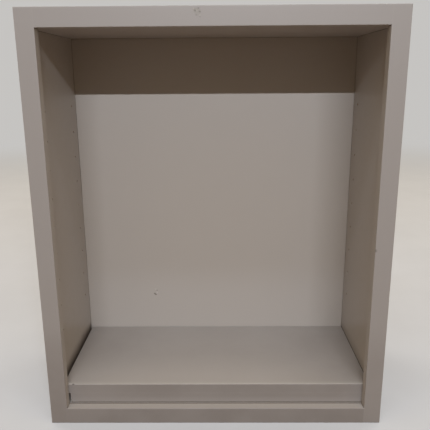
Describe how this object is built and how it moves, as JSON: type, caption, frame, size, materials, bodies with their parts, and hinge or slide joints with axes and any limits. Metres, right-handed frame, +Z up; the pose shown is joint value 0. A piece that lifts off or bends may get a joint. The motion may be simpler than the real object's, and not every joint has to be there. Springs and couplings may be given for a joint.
{
  "type": "wall cabinet",
  "caption": "Open-front wall cabinet with a face frame, shelf-pin columns inside both sides and a loose shelf with a thickened front edge lying on its floor.",
  "frame": {"origin": "middle of the cabinet's base, halfway across its width and its depth", "axes": "+X to the right seen from the front, +Y towards the wall, +Z up; the open front faces -Y"},
  "size_m": [0.6, 0.28, 0.718],
  "materials": {
    "painted_frame": "satin greige paint over timber",
    "painted_board": "satin greige paint over fibreboard",
    "painted_shelf": "satin greige paint over fibreboard",
    "bare_board": "bare fibreboard",
    "plywood_tongue": "bare birch plywood",
    "zinc_steel": "zinc-plated"
  },
  "bodies": {
    "cabinet": {"stile_left": "painted_frame", "stile_right": "painted_frame", "rail_top": "painted_frame", "rail_bottom": "painted_frame", "side_panel_left": "painted_board", "side_panel_right": "painted_board", "top_panel": "painted_board", "bottom_panel": "painted_board", "back_panel": "painted_board", "hanging_rail_top": "bare_board", "hanging_rail_bottom": "bare_board", "frame_tongue_left": "plywood_tongue", "frame_tongue_right": "plywood_tongue", "frame_tongue_top": "plywood_tongue", "frame_tongue_bottom": "plywood_tongue", "hanging_rail_tongues_top": "plywood_tongue", "hanging_rail_tongues_bottom": "plywood_tongue"},
    "shelf": {"shelf_board": "painted_shelf", "shelf_lip": "painted_shelf", "shelf_batten": "painted_shelf", "shelf_lip_screws": "zinc_steel", "shelf_batten_screws": "zinc_steel"}
  },
  "joints": [
    {"name": "shelf_lift", "type": "slide", "parent": "cabinet", "child": "shelf", "axis": [0, 0, 1], "range_m": [0, 0.5112]}
  ]
}
